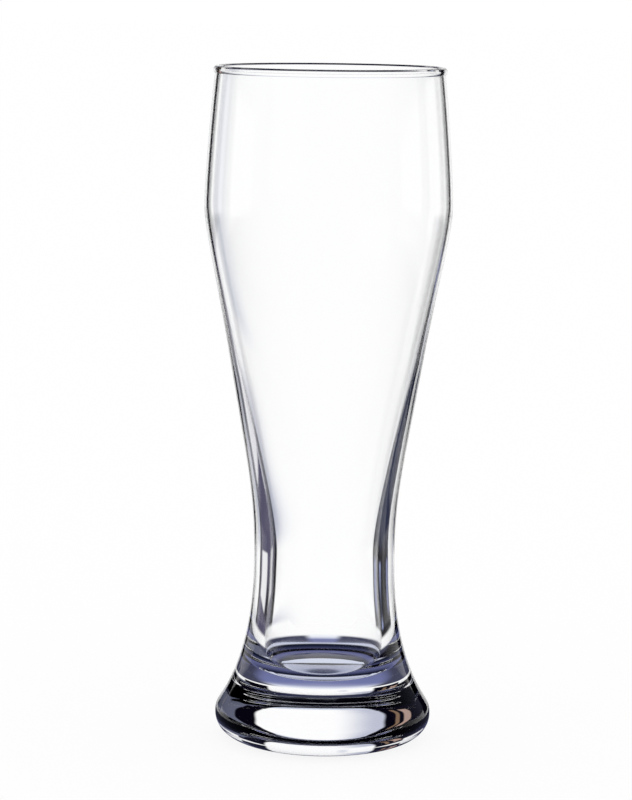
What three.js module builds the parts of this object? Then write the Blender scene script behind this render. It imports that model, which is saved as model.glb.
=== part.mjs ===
// A tall waisted beer glass in clear glass: a blown bowl with a closed, heavy bottom, a solid pressed
// foot fused under it and a fire-polished bead fused round the rim.
// Millimetres, +Z up, origin on the axis at the level of the table.
import * as THREE from 'three';

// Lengths of the stretches of the glass, stacked from the table up
const FOOT_HEIGHT = 15; // table to the seam between foot and bowl
const ANKLE_LENGTH = 45; // seam to the waist
const LOWER_TAPER_LENGTH = 65; // waist to the middle of the taper
const UPPER_TAPER_LENGTH = 50; // middle of the taper to the belly
const BARREL_LENGTH = 42.6; // belly to the seat of the rim bead
const BEAD_HEIGHT = 2.4; // the bead on top of the wall

// Outside radii at the ends of those stretches
const SEAM_RADIUS = 32.5;
const WAIST_RADIUS = 23.05;
const TAPER_RADIUS = 31.39;
const BELLY_RADIUS = 40.14;
const NECK_RADIUS = 37; // just under the bead

// How far the outside leans from upright there, in degrees, growing wider towards the table
const SEAM_FLARE = 30;
const TAPER_LEAN = -9.7;
const NECK_LEAN = 7.5;

// Foot
const EDGE_RADIUS = 35.45; // the widest place of the foot
const EDGE_HEIGHT = 7.9;
const RING_RADIUS = 27.5; // outside of the flat ring that stands on the table
const RING_WIDTH = 5;
const PUNT_DEPTH = 1.5; // hollow under the foot, inside that ring

// Wall and cavity of the bowl
const NECK_WALL = 1.2;
const BELLY_WALL = 1.2;
const TAPER_WALL = 2.06;
const WAIST_WALL = 5.2;
const BOTTOM_THICKNESS = 6.1; // seam to the floor of the cavity
const FLOOR_RADIUS = 14.5; // flat middle of the floor
const FLOOR_CORNER_HEIGHT = 7.5; // the floor rises this far to where the cavity is widest above it
const CAVITY_FOOT_RADIUS = 19.8; // cavity radius there
const CAVITY_TAPER_LEAN = -11.9; // lean of the cavity wall at the middle of the taper

// Rim bead
const BEAD_STANDOUT = 0.55; // beyond the outside of the wall
const BEAD_STANDIN = 0.25; // beyond the inside of the wall

// Fineness of the solids
const SEGMENTS = 48;
const CURVE_STEPS = 6;

// Levels of the stations along the axis
const SEAM_LEVEL = FOOT_HEIGHT;
const WAIST_LEVEL = SEAM_LEVEL + ANKLE_LENGTH;
const TAPER_LEVEL = WAIST_LEVEL + LOWER_TAPER_LENGTH;
const BELLY_LEVEL = TAPER_LEVEL + UPPER_TAPER_LENGTH;
const BEAD_LEVEL = BELLY_LEVEL + BARREL_LENGTH;
const FLOOR_LEVEL = SEAM_LEVEL + BOTTOM_THICKNESS;

// A station is a place that the profile passes, with the way it leans there. The pulls say how long the
// curve keeps that lean below and above the station, as a share of the stretch to its neighbour.
function station(radius, level, lean, pullBelow, pullAbove) {
  const slope = Math.tan(THREE.MathUtils.degToRad(lean));
  return { radius, level, slope, pullBelow, pullAbove };
}

// Points of the curve from the station lower to the station upper, without its first point
function rise(lower, upper) {
  const length = upper.level - lower.level;
  const below = lower.pullAbove * length;
  const above = upper.pullBelow * length;
  const curve = new THREE.CubicBezierCurve(
    new THREE.Vector2(lower.radius, lower.level),
    new THREE.Vector2(lower.radius - lower.slope * below, lower.level + below),
    new THREE.Vector2(upper.radius + upper.slope * above, upper.level - above),
    new THREE.Vector2(upper.radius, upper.level),
  );
  return curve.getPoints(CURVE_STEPS).slice(1);
}

// Points of a quarter-round that leaves start along the axis and reaches end square to the axis,
// or the other way round, without its first point. The pull is the share of the way to the corner.
function quarter(start, end, corner, pullStart, pullEnd) {
  const curve = new THREE.CubicBezierCurve(
    start,
    start.clone().lerp(corner, pullStart),
    end.clone().lerp(corner, pullEnd),
    end,
  );
  return curve.getPoints(CURVE_STEPS).slice(1);
}

// Points of a run through several stations, first point included
function run(stations) {
  const points = [new THREE.Vector2(stations[0].radius, stations[0].level)];
  for (let i = 1; i < stations.length; i += 1) {
    points.push(...rise(stations[i - 1], stations[i]));
  }
  return points;
}

// Share of the way to the corner at which a quarter-round comes close to a true ellipse
const ROUND_PULL = 0.55;

// The heel leaves the standing ring in a flatter bow than that
const HEEL_PULL = 0.315;

// Stations on the outside of the glass
const edge = station(EDGE_RADIUS, EDGE_HEIGHT, 0, 0.7, 0.37);
const seam = station(SEAM_RADIUS, SEAM_LEVEL, SEAM_FLARE, 0.55, 0.36);
const waist = station(WAIST_RADIUS, WAIST_LEVEL, 0, 0.164, 0.324);
const taper = station(TAPER_RADIUS, TAPER_LEVEL, TAPER_LEAN, 0.547, 0.535);
const belly = station(BELLY_RADIUS, BELLY_LEVEL, 0, 0.148, 0.218);
const neck = station(NECK_RADIUS, BEAD_LEVEL, NECK_LEAN, 0.167, 0);

// Stations on the cavity, the same places less the wall
const cavityFoot = station(CAVITY_FOOT_RADIUS, FLOOR_LEVEL + FLOOR_CORNER_HEIGHT, 0, 0, 0.25);
const cavityWaist = station(WAIST_RADIUS - WAIST_WALL, WAIST_LEVEL, 0, 0.55, 0.29);
const cavityTaper = station(TAPER_RADIUS - TAPER_WALL, TAPER_LEVEL, CAVITY_TAPER_LEAN, 0.245, 0.46);
const cavityBelly = station(BELLY_RADIUS - BELLY_WALL, BELLY_LEVEL, 0, 0.125, 0.218);
const cavityNeck = station(NECK_RADIUS - NECK_WALL, BEAD_LEVEL, NECK_LEAN, 0.167, 0);

// One colour and finish for all of the glass
const clearGlass = new THREE.MeshStandardMaterial({
  color: 0xdfe3ee,
  roughness: 0.03,
  metalness: 0,
  transparent: true,
  opacity: 0.35,
});

// A solid turned about the upright axis from a profile that runs up the outside and down the inside
function turned(name, profile) {
  const geometry = new THREE.LatheGeometry(profile, SEGMENTS);
  geometry.rotateX(Math.PI / 2);
  const mesh = new THREE.Mesh(geometry, clearGlass);
  mesh.name = name;
  return mesh;
}

// The foot: a shallow hollow underneath, the standing ring, the rounded heel and edge, and the flare
// up to a flat top where the bowl is fused on
function foot() {
  const ringInside = RING_RADIUS - RING_WIDTH;
  const puntTop = new THREE.Vector2(0, PUNT_DEPTH);
  const ringInner = new THREE.Vector2(ringInside, 0);
  const ringOuter = new THREE.Vector2(RING_RADIUS, 0);
  const edgePoint = new THREE.Vector2(edge.radius, edge.level);
  const puntShoulder = new THREE.Vector2(ringInside / 2, PUNT_DEPTH);
  const punt = new THREE.QuadraticBezierCurve(puntTop, puntShoulder, ringInner);
  const heelCorner = new THREE.Vector2(edge.radius, 0);
  return turned('foot', [
    ...punt.getPoints(CURVE_STEPS),
    ringOuter,
    ...quarter(ringOuter, edgePoint, heelCorner, HEEL_PULL, edge.pullBelow),
    ...rise(edge, seam),
    new THREE.Vector2(0, SEAM_LEVEL),
  ]);
}

// The bowl: a flat underside on the foot, the waist, taper, belly and barrel outside, a flat top
// under the bead, and the cavity down to its rounded floor
function bowl() {
  const outside = run([seam, waist, taper, belly, neck]);
  const inside = run([cavityFoot, cavityWaist, cavityTaper, cavityBelly, cavityNeck]).reverse();
  const floorEdge = new THREE.Vector2(FLOOR_RADIUS, FLOOR_LEVEL);
  const floorCorner = new THREE.Vector2(cavityFoot.radius, FLOOR_LEVEL);
  const cavityFootPoint = new THREE.Vector2(cavityFoot.radius, cavityFoot.level);
  return turned('bowl', [
    new THREE.Vector2(0, SEAM_LEVEL),
    ...outside,
    ...inside,
    ...quarter(cavityFootPoint, floorEdge, floorCorner, ROUND_PULL, ROUND_PULL),
    new THREE.Vector2(0, FLOOR_LEVEL),
  ]);
}

// The rim bead: a ring of oval section on the flat top of the wall, a little wider than the wall
function rimBead() {
  const seatOuter = new THREE.Vector2(neck.radius, BEAD_LEVEL);
  const seatInner = new THREE.Vector2(cavityNeck.radius, BEAD_LEVEL);
  const middle = BEAD_LEVEL + BEAD_HEIGHT / 2;
  const outermost = new THREE.Vector2(neck.radius + BEAD_STANDOUT, middle);
  const innermost = new THREE.Vector2(cavityNeck.radius - BEAD_STANDIN, middle);
  const crown = new THREE.Vector2((outermost.x + innermost.x) / 2, BEAD_LEVEL + BEAD_HEIGHT);
  const corner = (side, level) => new THREE.Vector2(side.x, level);
  return turned('rim_bead', [
    seatOuter,
    ...quarter(seatOuter, outermost, corner(outermost, BEAD_LEVEL), ROUND_PULL, ROUND_PULL),
    ...quarter(outermost, crown, corner(outermost, crown.y), ROUND_PULL, ROUND_PULL),
    ...quarter(crown, innermost, corner(innermost, crown.y), ROUND_PULL, ROUND_PULL),
    ...quarter(innermost, seatInner, corner(innermost, BEAD_LEVEL), ROUND_PULL, ROUND_PULL),
    seatOuter.clone(),
  ]);
}

const glass = new THREE.Group();
glass.add(foot(), bowl(), rimBead());

export default glass;
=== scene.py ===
# %% [markdown]
# # A tall waisted beer glass
# The glass is a blown bowl, a solid foot fused under it and a fine bead fused round the rim. All three are
# round, so each one is drawn once as a half profile and turned about the upright axis, as on a lathe. The
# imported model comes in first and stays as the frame: the new pieces stand exactly where its nodes stand.

# %% Load the frame
import math

import bpy
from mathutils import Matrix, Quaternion, Vector


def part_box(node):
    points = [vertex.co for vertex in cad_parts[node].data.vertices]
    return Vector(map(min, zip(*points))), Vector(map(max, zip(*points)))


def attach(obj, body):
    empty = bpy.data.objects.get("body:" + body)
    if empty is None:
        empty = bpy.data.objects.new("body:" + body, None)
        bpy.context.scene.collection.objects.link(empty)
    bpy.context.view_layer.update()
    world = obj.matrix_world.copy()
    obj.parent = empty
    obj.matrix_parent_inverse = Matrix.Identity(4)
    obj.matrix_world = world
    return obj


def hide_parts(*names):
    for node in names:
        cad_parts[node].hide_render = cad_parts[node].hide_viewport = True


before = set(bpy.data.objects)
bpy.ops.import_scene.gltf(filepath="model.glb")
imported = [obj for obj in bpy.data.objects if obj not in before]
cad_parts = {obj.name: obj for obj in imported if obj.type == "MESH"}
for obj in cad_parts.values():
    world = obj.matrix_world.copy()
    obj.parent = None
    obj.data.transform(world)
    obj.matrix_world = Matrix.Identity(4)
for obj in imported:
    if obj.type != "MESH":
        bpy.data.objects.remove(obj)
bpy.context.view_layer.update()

# %% [markdown]
# ## Camera
# The photograph looks slightly down on the glass: the rim is an ellipse about one thirtieth as high as it is
# wide, the foot about a quarter. Those two ellipses, and how the height is spread between them, give the
# distance and the height of the lens. The glass leans right by less than a degree, so the camera is rolled
# by that much. A helper that looks at a target would do, but three plain turns are easier to read.

# %% Camera
PHOTO_HEIGHT_PX = 800
FOCAL_PX = 2887
SENSOR_MM = 36.0
CAMERA_DISTANCE = 0.9315
CAMERA_HEIGHT = 0.2477
CAMERA_PITCH = math.radians(8.301)
CAMERA_TURN = math.radians(0.206)
CAMERA_ROLL = math.radians(0.696)

scene = bpy.context.scene
scene.view_settings.view_transform = "Standard"
camera_data = bpy.data.cameras.new("camera")
camera_data.sensor_width = SENSOR_MM
camera_data.lens = FOCAL_PX / PHOTO_HEIGHT_PX * SENSOR_MM
camera_data.clip_start = 0.01
camera = bpy.data.objects.new("camera", camera_data)
scene.collection.objects.link(camera)
camera.location = (0, -CAMERA_DISTANCE, CAMERA_HEIGHT)
looking = Quaternion((0, 0, 1), CAMERA_TURN) @ Quaternion((1, 0, 0), math.pi / 2 - CAMERA_PITCH)
camera.rotation_mode = "QUATERNION"
camera.rotation_quaternion = looking @ Quaternion((0, 0, 1), CAMERA_ROLL)
scene.camera = camera
print("lens", round(camera_data.lens, 1), "mm")

# %% [markdown]
# ## Stations of the profile
# A station is a place that the profile passes and the way it leans there. Between two stations runs one
# Bezier curve, and the pulls say how long it keeps a station's lean, as a share of the stretch to the next
# one. Six stations are enough for the whole outside, because hot glass only ever makes slow curves. The
# seam, the bead and the widest radii are read from the frame, so the drawing can't drift away from it.

# %% Levels and radii from the frame
MM = 0.001
foot_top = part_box("foot")[1]
bowl_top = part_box("bowl")[1]
bead_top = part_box("rim_bead")[1]
SEAM_LEVEL = foot_top.z
BEAD_LEVEL = bowl_top.z
BEAD_TOP = bead_top.z
EDGE_RADIUS = foot_top.x
BELLY_RADIUS = bowl_top.x
BEAD_STANDOUT = 0.55 * MM
NECK_RADIUS = bead_top.x - BEAD_STANDOUT
ANKLE_LENGTH = 45 * MM
LOWER_TAPER_LENGTH = 65 * MM
UPPER_TAPER_LENGTH = 50 * MM
WAIST_LEVEL = SEAM_LEVEL + ANKLE_LENGTH
TAPER_LEVEL = WAIST_LEVEL + LOWER_TAPER_LENGTH
BELLY_LEVEL = TAPER_LEVEL + UPPER_TAPER_LENGTH
print("belly", round(BELLY_RADIUS / MM, 2), "mm, neck", round(NECK_RADIUS / MM, 2), "mm")


# %% Outside stations
def station(radius, level, lean=0.0, pull_below=0.0, pull_above=0.0):
    """A place on the profile; the lean is in degrees from upright, growing wider towards the table."""
    return dict(radius=radius, level=level, slope=math.tan(math.radians(lean)),
                below=pull_below, above=pull_above)


NECK_LEAN = 7.5
edge = station(EDGE_RADIUS, 7.9 * MM, 0, 0.7, 0.37)
seam = station(32.5 * MM, SEAM_LEVEL, 30, 0.55, 0.36)
waist = station(23.05 * MM, WAIST_LEVEL, 0, 0.164, 0.324)
taper = station(31.39 * MM, TAPER_LEVEL, -9.7, 0.547, 0.535)
belly = station(BELLY_RADIUS, BELLY_LEVEL, 0, 0.148, 0.218)
neck = station(NECK_RADIUS, BEAD_LEVEL, NECK_LEAN, 0.167, 0)
print("outside stations", [round(s["level"] / MM, 1) for s in (edge, seam, waist, taper, belly, neck)])

# %% Cavity stations
BOTTOM_THICKNESS = 6.1 * MM
FLOOR_LEVEL = SEAM_LEVEL + BOTTOM_THICKNESS
FLOOR_RADIUS = 14.5 * MM
NECK_WALL = 1.2 * MM
BELLY_WALL = 1.2 * MM
TAPER_WALL = 2.06 * MM
WAIST_WALL = 5.2 * MM
FLOOR_CORNER_HEIGHT = 7.5 * MM
cavity_foot = station(19.8 * MM, FLOOR_LEVEL + FLOOR_CORNER_HEIGHT, 0, 0, 0.25)
cavity_waist = station(waist["radius"] - WAIST_WALL, WAIST_LEVEL, 0, 0.55, 0.29)
cavity_taper = station(taper["radius"] - TAPER_WALL, TAPER_LEVEL, -11.9, 0.245, 0.46)
cavity_belly = station(BELLY_RADIUS - BELLY_WALL, BELLY_LEVEL, 0, 0.125, 0.218)
cavity_neck = station(NECK_RADIUS - NECK_WALL, BEAD_LEVEL, NECK_LEAN, 0.167, 0)
print("floor of the cavity", round(FLOOR_LEVEL / MM, 1), "mm above the table")

# %% [markdown]
# ## Turning a profile
# A Bezier curve is added, its points and handles are put on the stations, and it becomes a mesh line that
# Spin carries once round the axis. A Screw modifier would do the same, but Spin leaves a plain mesh at once.
# Spin doubles the first line and every point on the axis, so doubles are merged and the normals are turned
# outwards before the piece is shaded smooth up to its sharp corners.

# %% Knots and handles
ROUND_PULL = 0.55


def knot(radius, level):
    """A control point with both handles on it, which is a sharp corner until a handle is pulled out."""
    place = Vector((radius, 0, level))
    return dict(co=place, left=place.copy(), right=place.copy())


def climb(stations):
    """Knots for a run of stations from the lowest up, with the handles that their leans and pulls give."""
    knots = [knot(s["radius"], s["level"]) for s in stations]
    for i in range(len(stations) - 1):
        lower, upper = stations[i], stations[i + 1]
        length = upper["level"] - lower["level"]
        reach_up = lower["above"] * length
        reach_down = upper["below"] * length
        knots[i]["right"] += Vector((-lower["slope"] * reach_up, 0, reach_up))
        knots[i + 1]["left"] += Vector((upper["slope"] * reach_down, 0, -reach_down))
    return knots


def backwards(knots):
    """The same run, drawn from its top down."""
    return [dict(co=k["co"], left=k["right"], right=k["left"]) for k in reversed(knots)]


def round_off(first, second, corner_radius, corner_level, pull_first=ROUND_PULL, pull_second=ROUND_PULL):
    """Pull the handles between two knots towards a corner, which makes a quarter-round."""
    corner = Vector((corner_radius, 0, corner_level))
    first["right"] = first["co"].lerp(corner, pull_first)
    second["left"] = second["co"].lerp(corner, pull_second)


# %% Curve to mesh line
CURVE_RESOLUTION = 24


def drawn_line(name, knots, closed, resolution):
    """A mesh line through the knots, as the active object in the plane of the axis."""
    bpy.ops.object.select_all(action="DESELECT")
    bpy.ops.curve.primitive_bezier_curve_add(radius=1, location=(0, 0, 0))
    line = bpy.context.object
    line.name = name
    spline = line.data.splines[0]
    spline.bezier_points.add(len(knots) - len(spline.bezier_points))
    for point, place in zip(spline.bezier_points, knots):
        point.handle_left_type = "FREE"
        point.handle_right_type = "FREE"
        point.co = place["co"]
        point.handle_left = place["left"]
        point.handle_right = place["right"]
    spline.use_cyclic_u = closed
    spline.resolution_u = resolution
    line.data.resolution_u = resolution
    bpy.ops.object.convert(target="MESH")
    bpy.context.object.data.name = name
    return bpy.context.object


# %% Spin
SPIN_STEPS = 256
DOUBLES = 0.002 * MM
SHARP_CORNER = math.radians(35)


def turned(name, knots, closed=False, resolution=CURVE_RESOLUTION):
    """A closed body: the line through the knots, turned once round the axis."""
    piece = drawn_line(name, knots, closed, resolution)
    bpy.ops.object.mode_set(mode="EDIT")
    bpy.ops.mesh.select_all(action="SELECT")
    bpy.ops.mesh.spin(steps=SPIN_STEPS, angle=math.tau, center=(0, 0, 0), axis=(0, 0, 1))
    bpy.ops.mesh.select_all(action="SELECT")
    bpy.ops.mesh.remove_doubles(threshold=DOUBLES)
    bpy.ops.mesh.dissolve_degenerate(threshold=DOUBLES / 10)
    bpy.ops.mesh.select_all(action="SELECT")
    bpy.ops.mesh.normals_make_consistent(inside=False)
    bpy.ops.object.mode_set(mode="OBJECT")
    bpy.ops.object.shade_smooth_by_angle(angle=SHARP_CORNER)
    print(name, len(piece.data.polygons), "faces")
    return piece


# %% [markdown]
# ## Foot
# The foot is a solid lump that was pressed hot and fused under the bowl. It stands on a flat ring, and the
# middle of its underside is hollowed a little so that it can't rock. The rounded heel and edge above the
# ring gather the light like a lens, so this curve matters more for the look than any other.

# %% Foot
RING_RADIUS = 27.5 * MM
RING_INSIDE = RING_RADIUS - 5 * MM
PUNT_DEPTH = 1.5 * MM
HEEL_PULL = 0.315
FOOT_RESOLUTION = 48


def make_foot():
    punt = knot(0, PUNT_DEPTH)
    ring_inner = knot(RING_INSIDE, 0)
    ring_outer = knot(RING_RADIUS, 0)
    punt["right"] = Vector((RING_INSIDE / 3, 0, PUNT_DEPTH))
    ring_inner["left"] = Vector((RING_INSIDE * 2 / 3, 0, PUNT_DEPTH * 2 / 3))
    side = climb([edge, seam])
    round_off(ring_outer, side[0], EDGE_RADIUS, 0, HEEL_PULL, edge["below"])
    profile = [punt, ring_inner, ring_outer] + side + [knot(0, SEAM_LEVEL)]
    return turned("foot_glass", profile, resolution=FOOT_RESOLUTION)


foot = make_foot()

# %% [markdown]
# ## Bowl
# The bowl was blown: a thin wall at the barrel that grows thicker down the taper, as the glass was drawn out
# less there, and ends in a heavy bottom with a rounded floor. Outside and cavity are two runs of stations
# in one closed line, rather than one skin with a Solidify modifier, because the wall isn't even.

# %% Bowl
def make_bowl():
    outside = climb([seam, waist, taper, belly, neck])
    cavity = backwards(climb([cavity_foot, cavity_waist, cavity_taper, cavity_belly, cavity_neck]))
    floor_edge = knot(FLOOR_RADIUS, FLOOR_LEVEL)
    round_off(cavity[-1], floor_edge, cavity_foot["radius"], FLOOR_LEVEL)
    underside = knot(0, SEAM_LEVEL)
    return turned("bowl_glass", [underside] + outside + cavity + [floor_edge, knot(0, FLOOR_LEVEL)])


bowl = make_bowl()

# %% [markdown]
# ## Rim bead
# The cut edge of the blown wall was melted round in a flame, and the glass drew itself up into a fine bead
# that stands out a little beyond the wall on both sides. It is a closed oval of five knots, turned like the
# other two. A torus would be quicker, but it has no flat seat for the top of the wall.

# %% Rim bead
BEAD_STANDIN = 0.25 * MM


def make_bead():
    middle = (BEAD_LEVEL + BEAD_TOP) / 2
    out_radius = NECK_RADIUS + BEAD_STANDOUT
    in_radius = cavity_neck["radius"] - BEAD_STANDIN
    seat_outer = knot(NECK_RADIUS, BEAD_LEVEL)
    outermost = knot(out_radius, middle)
    crown = knot((out_radius + in_radius) / 2, BEAD_TOP)
    innermost = knot(in_radius, middle)
    seat_inner = knot(cavity_neck["radius"], BEAD_LEVEL)
    round_off(seat_outer, outermost, out_radius, BEAD_LEVEL)
    round_off(outermost, crown, out_radius, BEAD_TOP)
    round_off(crown, innermost, in_radius, BEAD_TOP)
    round_off(innermost, seat_inner, in_radius, BEAD_LEVEL)
    return turned("rim_bead_glass", [seat_outer, outermost, crown, innermost, seat_inner], closed=True)


bead = make_bead()

# %% [markdown]
# ## Node helpers
# Every material below is a small tree of nodes. A few helpers keep the trees short: one adds a node, one
# plugs values into sockets, and the rest make the sums, ramps and blends that come up again and again.


# %% Node helpers
def add_node(tree, kind, **settings):
    """A new shader node; the settings are its own properties, such as operation."""
    made = tree.nodes.new("ShaderNode" + kind)
    for name, value in settings.items():
        setattr(made, name, value)
    return made


def plug(tree, sockets, values):
    """Give each socket its value: an output is linked, a number or a colour is set."""
    for socket, value in zip(sockets, values):
        if isinstance(value, bpy.types.NodeSocket):
            tree.links.new(value, socket)
        else:
            socket.default_value = value


def sum_of(tree, operation, *values):
    """A Math node on one or two values."""
    made = add_node(tree, "Math", operation=operation)
    plug(tree, made.inputs, values)
    return made.outputs[0]


def ramp(tree, value, low, high, at_low, at_high):
    """A soft step from one number to another while the value goes from low to high."""
    made = add_node(tree, "MapRange", interpolation_type="SMOOTHSTEP")
    plug(tree, made.inputs, (value, low, high, at_low, at_high))
    return made.outputs[0]


def blend(tree, factor, first, second):
    """A colour between two colours."""
    made = add_node(tree, "Mix", data_type="RGBA")
    plug(tree, (made.inputs[0], made.inputs[6], made.inputs[7]), (factor, first, second))
    return made.outputs[2]


def mixed(tree, factor, first, second):
    """A shader between two shaders."""
    made = add_node(tree, "MixShader")
    plug(tree, made.inputs, (factor, first, second))
    return made.outputs[0]


def empty_tree(block):
    """The block's node tree, cleared."""
    block.use_nodes = True
    block.node_tree.nodes.clear()
    return block.node_tree


# %% [markdown]
# ## Glass
# Clear glass has hardly any colour of its own. What gives it away as a made thing is that its skin was once
# liquid: it is never quite flat, and it is faintly clouded where tools and moulds touched it. Both come
# from one node group that all the glass shares, with a ripple for the bump and a cloud for tint and haze.


# %% Hot glass group
def make_hot_glass_group():
    group = bpy.data.node_groups.new("hot_glass_skin", "ShaderNodeTree")
    for name, value in (("Ripple Scale", 60.0), ("Cloud Scale", 25.0), ("Stretch", 0.4)):
        socket = group.interface.new_socket(name, in_out="INPUT", socket_type="NodeSocketFloat")
        socket.default_value = value
    for name in ("Ripple", "Cloud"):
        group.interface.new_socket(name, in_out="OUTPUT", socket_type="NodeSocketFloat")
    given = group.nodes.new("NodeGroupInput")
    result = group.nodes.new("NodeGroupOutput")
    place = add_node(group, "TexCoord")
    drawn_out = add_node(group, "CombineXYZ")
    plug(group, drawn_out.inputs, (1.0, 1.0, given.outputs["Stretch"]))
    stretched = add_node(group, "VectorMath", operation="MULTIPLY")
    plug(group, stretched.inputs, (place.outputs["Object"], drawn_out.outputs[0]))
    for name, detail in (("Ripple", 1.0), ("Cloud", 3.0)):
        noise = add_node(group, "TexNoise")
        noise.inputs["Detail"].default_value = detail
        plug(group, (noise.inputs["Vector"], noise.inputs["Scale"]),
             (stretched.outputs[0], given.outputs[name + " Scale"]))
        plug(group, (result.inputs[name],), (noise.outputs[0],))
    return group


hot_glass_skin = make_hot_glass_group()
print("group", hot_glass_skin.name, [item.name for item in hot_glass_skin.interface.items_tree])

# %% Glass materials
GLASS_IOR = 1.52
FACE_ON_GLOSS = (0.05, 0.05, 0.05, 1)
CLEAR = (1.0, 1.0, 1.0, 1)


def make_glass(name, tint, haze, ripple_height, ripple_scale, stretch):
    """Clear glass; the tint and haze come in patches, and the ripple is a height in metres."""
    material = bpy.data.materials.new(name)
    tree = empty_tree(material)
    skin = add_node(tree, "Group", node_tree=hot_glass_skin)
    skin.inputs["Ripple Scale"].default_value = ripple_scale
    skin.inputs["Stretch"].default_value = stretch
    bump = add_node(tree, "Bump")
    bump.inputs["Strength"].default_value = 1.0
    bump.inputs["Distance"].default_value = ripple_height
    plug(tree, (bump.inputs["Height"],), (skin.outputs["Ripple"],))
    shader = add_node(tree, "BsdfPrincipled")
    shader.inputs["IOR"].default_value = GLASS_IOR
    shader.inputs["Specular Tint"].default_value = FACE_ON_GLOSS
    shader.inputs["Transmission Weight"].default_value = 1.0
    plug(tree, (shader.inputs["Base Color"], shader.inputs["Roughness"], shader.inputs["Normal"]),
         (blend(tree, skin.outputs["Cloud"], CLEAR, tint),
          ramp(tree, skin.outputs["Cloud"], 0.3, 0.7, 0.0, haze),
          bump.outputs[0]))
    output = add_node(tree, "OutputMaterial")
    plug(tree, (output.inputs["Surface"],), (shader.outputs[0],))
    return material


MICRON = 1e-6
blown_glass = make_glass("blown_glass", (0.995, 0.997, 1.0, 1), 0.01, 3 * MICRON, 55.0, 0.4)
pressed_glass = make_glass("pressed_glass", (0.975, 0.978, 0.995, 1), 0.01, 1.5 * MICRON, 70.0, 0.8)
polished_glass = make_glass("fire_polished_glass", (0.99, 0.992, 1.0, 1), 0.005, 2 * MICRON, 90.0, 1.0)
print("glass", [m.name for m in (blown_glass, pressed_glass, polished_glass)])


# %% [markdown]
# ## Fused seams
# Foot, bowl and bead are separate pieces here, but on the real glass they melted together, so no light is
# bent or lost where they meet. A gap, however thin, would shine like a mirror. The two faces of each seam
# therefore get a plain see-through material, and light passes from piece to piece as through one glass.

# %% Fused seams
def make_fused_seam():
    material = bpy.data.materials.new("fused_seam")
    tree = empty_tree(material)
    output = add_node(tree, "OutputMaterial")
    plug(tree, (output.inputs["Surface"],), (add_node(tree, "BsdfTransparent").outputs[0],))
    return material


fused_seam = make_fused_seam()
SEAM_REACH = 0.001 * MM
FLAT = 0.999


def dress(piece, glass):
    """Glass all over, apart from the flat faces at the levels of the two seams."""
    piece.data.materials.clear()
    piece.data.materials.append(glass)
    piece.data.materials.append(fused_seam)
    for face in piece.data.polygons:
        off_seam = min(abs(face.center.z - level) for level in (SEAM_LEVEL, BEAD_LEVEL))
        fused = abs(face.normal.z) > FLAT and off_seam < SEAM_REACH
        face.material_index = 1 if fused else 0
    print(piece.name, "fused faces", sum(face.material_index for face in piece.data.polygons))


dress(foot, pressed_glass)
dress(bowl, blown_glass)
dress(bead, polished_glass)

# %% [markdown]
# ## Bright-field light
# Clear glass is seen by what stands behind it. In the photograph that is a white field only a little wider
# than the picture, with the dark of the room on both sides. Light that goes nearly straight through meets
# the field and looks white, and light that the edges and the foot bend far aside meets the dark, which draws
# the outline. So the light is made of two things: a white floor, and a room that differs by direction.
# The camera sees neither the room nor its dark: it sees plain white. Only rays that the glass has bent or
# mirrored see the room, so the glass doesn't show quite the background that the picture has.

# %% Colours of the room
WHITE = (1.0, 1.0, 1.0, 1)
DARK = (0.002, 0.0015, 0.005, 1)
FIELD_SHADE = (0.52, 0.54, 0.65, 1)
# Painted shade for a darker stripe across the white field.
FIELD_STRIPE_SHADE = (0.76, 0.78, 0.84, 1)
# Painted shade for the upper part of the white field.
FIELD_TOP_SHADE = (0.62, 0.66, 0.80, 1)
PALE_TABLE = (0.88, 0.88, 0.90, 1)
TABLE_TINT = (0.035, 0.04, 0.075, 1)
TABLE_DARK = (0.015, 0.016, 0.035, 1)
NEAR_TABLE_TINT = (0.28, 0.29, 0.38, 1)
LAVENDER_DARK = (0.105, 0.098, 0.155, 1)
LAVENDER = (0.19, 0.21, 0.38, 1)
PALE_BLUE = (0.26, 0.30, 0.50, 1)
ROOM_TINT = (0.12, 0.13, 0.185, 1)
WARM_LIGHT = (0.43, 0.30, 0.25, 1)
WARM_DARK = (0.22, 0.14, 0.09, 1)


# %% Rays that have met the glass
def through_glass(tree):
    """One for a ray that glass has bent or mirrored, zero for a ray straight from the camera."""
    path = add_node(tree, "LightPath")
    return sum_of(tree, "MAXIMUM", path.outputs["Is Glossy Ray"], path.outputs["Is Transmission Ray"])


def glow_of(tree, colour):
    """An Emission shader of strength 1."""
    glow = add_node(tree, "Emission")
    plug(tree, glow.inputs, (colour,))
    return glow.outputs[0]


# %% [markdown]
# ## Floor
# The floor is plain and white, and keeps a soft shadow of the glass. Seen through the glass it is not all
# white: it carries painted shadow and painted light. Under the foot it has a painted dark shadow but for a
# painted pale ring of gathered light, painted lavender shade round the foot, white straight behind it and
# painted dark shade to both sides. That painted shade is a ColorRamp over the distance from the axis. From
# about a hand's breadth away the floor gives way to the room, but for one pale patch farther out. The patch
# lies behind the glass as seen from the raised view at azimuth 45, and is there for that view.

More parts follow.
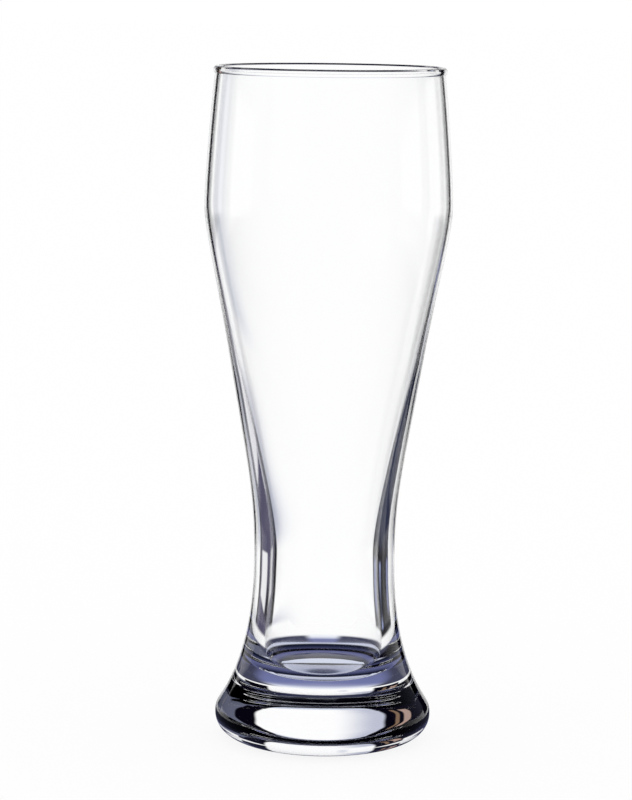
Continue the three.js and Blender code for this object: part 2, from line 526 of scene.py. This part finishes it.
# %% Shade round the foot
# Painted shadow under the foot, a painted pale ring of gathered light and painted lavender shade round it, by
# distance from the axis.
SHADE_REACH = 0.15
SHADE_STOPS = (
    (0.00, (0.04, 0.045, 0.09, 1.0)),
    (0.035, (0.08, 0.09, 0.15, 1.0)),
    (0.06, (0.40, 0.42, 0.55, 1.0)),
    (0.13, (0.60, 0.63, 0.76, 1.0)),
    (0.147, (0.004, 0.006, 0.015, 1.0)),
    (0.175, (0.012, 0.015, 0.04, 1.0)),
    (0.25, (0.11, 0.12, 0.25, 1.0)),
    (0.37, (0.17, 0.19, 0.38, 1.0)),
    (0.39, (0.30, 0.32, 0.50, 1.0)),
    (0.41, (0.55, 0.58, 0.73, 1.0)),
    (0.46, (0.84, 0.87, 0.93, 1.0)),
    (0.55, (1.0, 1.0, 1.0, 1.0)),
)
# Painted dark shade on the floor to both sides of the foot, seen only through the glass.
SIDE_SHADE = (0.055, 0.058, 0.10, 1)
SIDE_SHADE_STARTS = (0.040, 0.046)
SIDE_SHADE_ENDS = (0.068, 0.080)
SIDE_SHADE_ASIDE = (math.radians(4.5), math.radians(9))
COVER_ENDS = ((0.100, 0.12), (0.115, 0.15))
COVER_ASIDE = (math.radians(10), math.radians(13))
PATCH_TURN = math.radians(-45)
PATCH_HALF = (math.radians(7), math.radians(12))
PATCH_STARTS = (0.235, 0.250)
PATCH_ENDS = (0.76, 0.84)


def shade_round_foot(tree):
    """Colour and cover of the floor as glass shows it, from the distance and the bearing: a painted shadow
    under the foot, a painted ring of gathered light, and painted shade round and beside it.
    """
    place = add_node(tree, "TexCoord").outputs["Object"]
    length = add_node(tree, "VectorMath", operation="LENGTH")
    plug(tree, length.inputs, (place,))
    away = length.outputs["Value"]
    parts = add_node(tree, "SeparateXYZ")
    plug(tree, parts.inputs, (place,))
    turn = sum_of(tree, "ARCTAN2", parts.outputs[0], parts.outputs[1])
    aside = sum_of(tree, "ABSOLUTE", turn)
    shade = add_node(tree, "ValToRGB")
    elements = shade.color_ramp.elements
    while len(elements) < len(SHADE_STOPS):
        elements.new(0.5)
    for element, (position, colour) in zip(elements, SHADE_STOPS):
        element.position = position
        element.color = colour
    plug(tree, shade.inputs, (sum_of(tree, "DIVIDE", away, SHADE_REACH),))
    # Painted dark shade to both sides of the foot.
    ring = sum_of(tree, "MULTIPLY", ramp(tree, away, *SIDE_SHADE_STARTS, 0.0, 1.0),
                  ramp(tree, away, *SIDE_SHADE_ENDS, 1.0, 0.0))
    beside = sum_of(tree, "MULTIPLY", ring, ramp(tree, aside, *SIDE_SHADE_ASIDE, 0.0, 1.0))
    ends = [ramp(tree, aside, *COVER_ASIDE, *reach) for reach in COVER_ENDS]
    cover = ramp(tree, away, *ends, 1.0, 0.0)
    off = sum_of(tree, "ABSOLUTE", sum_of(tree, "SUBTRACT", turn, PATCH_TURN))
    wedge = sum_of(tree, "MULTIPLY", ramp(tree, off, *PATCH_HALF, 1.0, 0.0),
                   ramp(tree, away, *PATCH_STARTS, 0.0, 1.0))
    patch = sum_of(tree, "MULTIPLY", wedge, ramp(tree, away, *PATCH_ENDS, 1.0, 0.0))
    colour = blend(tree, patch, blend(tree, beside, shade.outputs["Color"], SIDE_SHADE), PALE_TABLE)
    return colour, sum_of(tree, "MAXIMUM", cover, patch)


# %% Floor
FLOOR_SIZE = 30.0
FLOOR_DROP = 0.0003
FLOOR_GLOW = 0.88


def make_floor():
    bpy.ops.object.select_all(action="DESELECT")
    bpy.ops.mesh.primitive_plane_add(size=FLOOR_SIZE, location=(0, 0, -FLOOR_DROP))
    floor = bpy.context.object
    floor.name = "floor"
    material = bpy.data.materials.new("white_floor")
    tree = empty_tree(material)
    matt = add_node(tree, "BsdfDiffuse")
    matt.inputs["Color"].default_value = (0.97, 0.97, 0.97, 1)
    plain = mixed(tree, FLOOR_GLOW, matt.outputs[0], glow_of(tree, WHITE))
    colour, cover = shade_round_foot(tree)
    room_beyond = add_node(tree, "BsdfTransparent").outputs[0]
    seen = mixed(tree, cover, room_beyond, glow_of(tree, colour))
    output = add_node(tree, "OutputMaterial")
    plug(tree, (output.inputs["Surface"],), (mixed(tree, through_glass(tree), plain, seen),))
    floor.data.materials.append(material)
    return floor


floor = make_floor()
print("floor", FLOOR_SIZE, "m")

# %% [markdown]
# ## Room
# The world is plain white for the camera and for the light on the floor. Rays that the glass has bent see
# the room instead: the white field behind the glass, dark beside it, grey above and a lavender table below.
# Five more white fields stand to the sides and behind. They fill the gloss on the wall of the bowl, and lie
# behind the glass in the views at azimuth 0, 90 and 225. From sides with no field behind the glass, such as
# azimuth 300, the room is dark and so is the glass. The small tinted patches stand for things in a room and
# were set until their coloured lines in the waist and the foot came near those in the photograph.

# %% Directions
DEG = math.pi / 180
world = bpy.data.worlds.new("studio")
scene.world = world
sky = empty_tree(world)
bearing = add_node(sky, "SeparateXYZ")
plug(sky, bearing.inputs, (add_node(sky, "TexCoord").outputs["Generated"],))
azimuth = sum_of(sky, "ARCTAN2", bearing.outputs[1], bearing.outputs[0])
elevation = sum_of(sky, "ARCSINE", bearing.outputs[2])


def sector(low, high, soft=1.0):
    """One between two bearings, zero outside; straight behind the glass is 90 degrees."""
    turn = add_node(sky, "Math", operation="WRAP")
    plug(sky, turn.inputs, (sum_of(sky, "SUBTRACT", azimuth, (low + high) / 2 * DEG), math.pi, -math.pi))
    off = sum_of(sky, "ABSOLUTE", turn.outputs[0])
    half = (high - low) / 2
    return ramp(sky, off, (half - soft) * DEG, (half + soft) * DEG, 1.0, 0.0)


def rising(low, high):
    """A soft step from zero to one while the elevation goes from low to high."""
    return ramp(sky, elevation, low * DEG, high * DEG, 0.0, 1.0)


def band(low, high, soft=1.0):
    """One between two elevations, zero outside."""
    return sum_of(sky, "MULTIPLY", rising(low - soft, low + soft),
                  ramp(sky, elevation, (high - soft) * DEG, (high + soft) * DEG, 1.0, 0.0))


def both(first, second):
    return sum_of(sky, "MULTIPLY", first, second)


# %% Room by direction
FIELD = (67, 111)
FIELD_LOW = -25
FIELD_HIGH = 50
SIDE_FIELDS = (
    (166, 194, -10, 5, 1),
    (298, 332, -25, -6, 1),
    (-20, 27, -20, 5, 1.5),
    (21, 50, -8.5, 5, 1.5),
    (128, 152, -8.5, 5, 1.5),
)
FLAG_WIDTH = 6

room = blend(sky, rising(-22, -14), TABLE_TINT, DARK)
room = blend(sky, rising(-44, -26), NEAR_TABLE_TINT, room)
low_behind = both(sector(55, 125), ramp(sky, elevation, -30 * DEG, -26 * DEG, 1.0, 0.0))
room = blend(sky, low_behind, room, TABLE_DARK)
room = blend(sky, both(sector(0, 57), rising(2, 8)), room, ROOM_TINT)
room = blend(sky, both(sector(117, 150), band(-32, -10.5)), room, LAVENDER_DARK)
room = blend(sky, both(sector(129, 141, 2), band(-34, -24.3, 0.8)), room, PALE_TABLE)
room = blend(sky, both(sector(116.3, 118.6, 0.5), band(3, 24)), room, WARM_DARK)
room = blend(sky, both(sector(121.5, 127, 0.7), band(3, 24)), room, WARM_LIGHT)
room = blend(sky, both(sector(FIELD[0] - 13, FIELD[1] + 5), rising(-16, -13)), room, DARK)
room = blend(sky, both(sector(57.5, 65), band(-12.5, -10.5)), room, LAVENDER)
room = blend(sky, both(sector(28, 38), band(-12.5, -10.5)), room, PALE_BLUE)
for colour, overhang in ((DARK, FLAG_WIDTH), (WHITE, 0)):
    for left, right, low, high, soft in SIDE_FIELDS:
        patch = both(sector(left - overhang, right + overhang), band(low, high, soft))
        room = blend(sky, patch, room, colour)

# %% White field
level_share = sum_of(sky, "MAXIMUM", rising(4, 9), ramp(sky, elevation, -18 * DEG, -13 * DEG, 1.0, 0.0))
fall_off = both(ramp(sky, azimuth, 93 * DEG, 108 * DEG, 0.0, 1.0), level_share)
field_colour = blend(sky, fall_off, WHITE, FIELD_SHADE)
# A stripe of painted shade across the white field.
field_colour = blend(sky, both(sector(96, 99.5, 1.5), band(-10.5, 2)), field_colour, FIELD_STRIPE_SHADE)
# Painted shade over the upper part of the white field.
field_colour = blend(sky, rising(28, 34), field_colour, FIELD_TOP_SHADE)
room = blend(sky, both(sector(*FIELD), band(FIELD_LOW, FIELD_HIGH)), room, field_colour)

background = add_node(sky, "Background")
plug(sky, background.inputs, (blend(sky, through_glass(sky), WHITE, room),))
output = add_node(sky, "OutputWorld")
plug(sky, (output.inputs["Surface"],), (background.outputs[0],))
print("room", len(sky.nodes), "nodes")

# %% [markdown]
# ## On the frame
# Each piece rides on the one body of the glass and stands in for the node that it was drawn over.

# %% On the frame
for piece, node in ((foot, "foot"), (bowl, "bowl"), (bead, "rim_bead")):
    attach(piece, "root")
    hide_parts(node)
